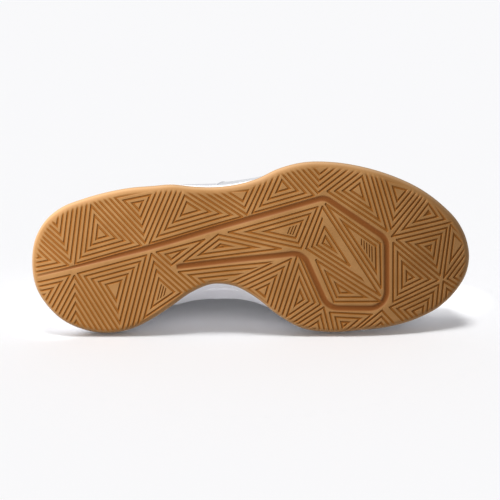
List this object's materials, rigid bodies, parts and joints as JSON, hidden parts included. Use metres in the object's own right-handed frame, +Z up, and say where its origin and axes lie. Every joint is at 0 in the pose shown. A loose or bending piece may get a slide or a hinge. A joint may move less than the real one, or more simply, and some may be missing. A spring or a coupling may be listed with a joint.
{
  "type": "volleyball shoe",
  "caption": "Right low-cut volleyball shoe lying on its medial side: gum rubber court outsole, foam midsole, hollow laced upper open at collar and throat, tongue, lace and insole.",
  "frame": {"origin": "bottom centre of the box round the shoe as it lies on the floor", "axes": "+X from heel to toe, -Y the way the tread faces, +Z up from the floor to the lateral side"},
  "size_m": [0.29, 0.1374, 0.1123],
  "materials": {
    "gum_rubber": "matt, slightly worn gum rubber",
    "white_foam": "moulded foam, satin",
    "insole_fabric": "brushed lining cloth over foam",
    "upper_fabric": "white mesh and smooth synthetic",
    "tongue_fabric": "padded mesh",
    "lace_fabric": "flat woven lace"
  },
  "bodies": {
    "root": {"outsole": "gum_rubber", "midsole": "white_foam", "insole": "insole_fabric", "upper": "upper_fabric", "tongue": "tongue_fabric", "lace": "lace_fabric"}
  },
  "joints": []
}
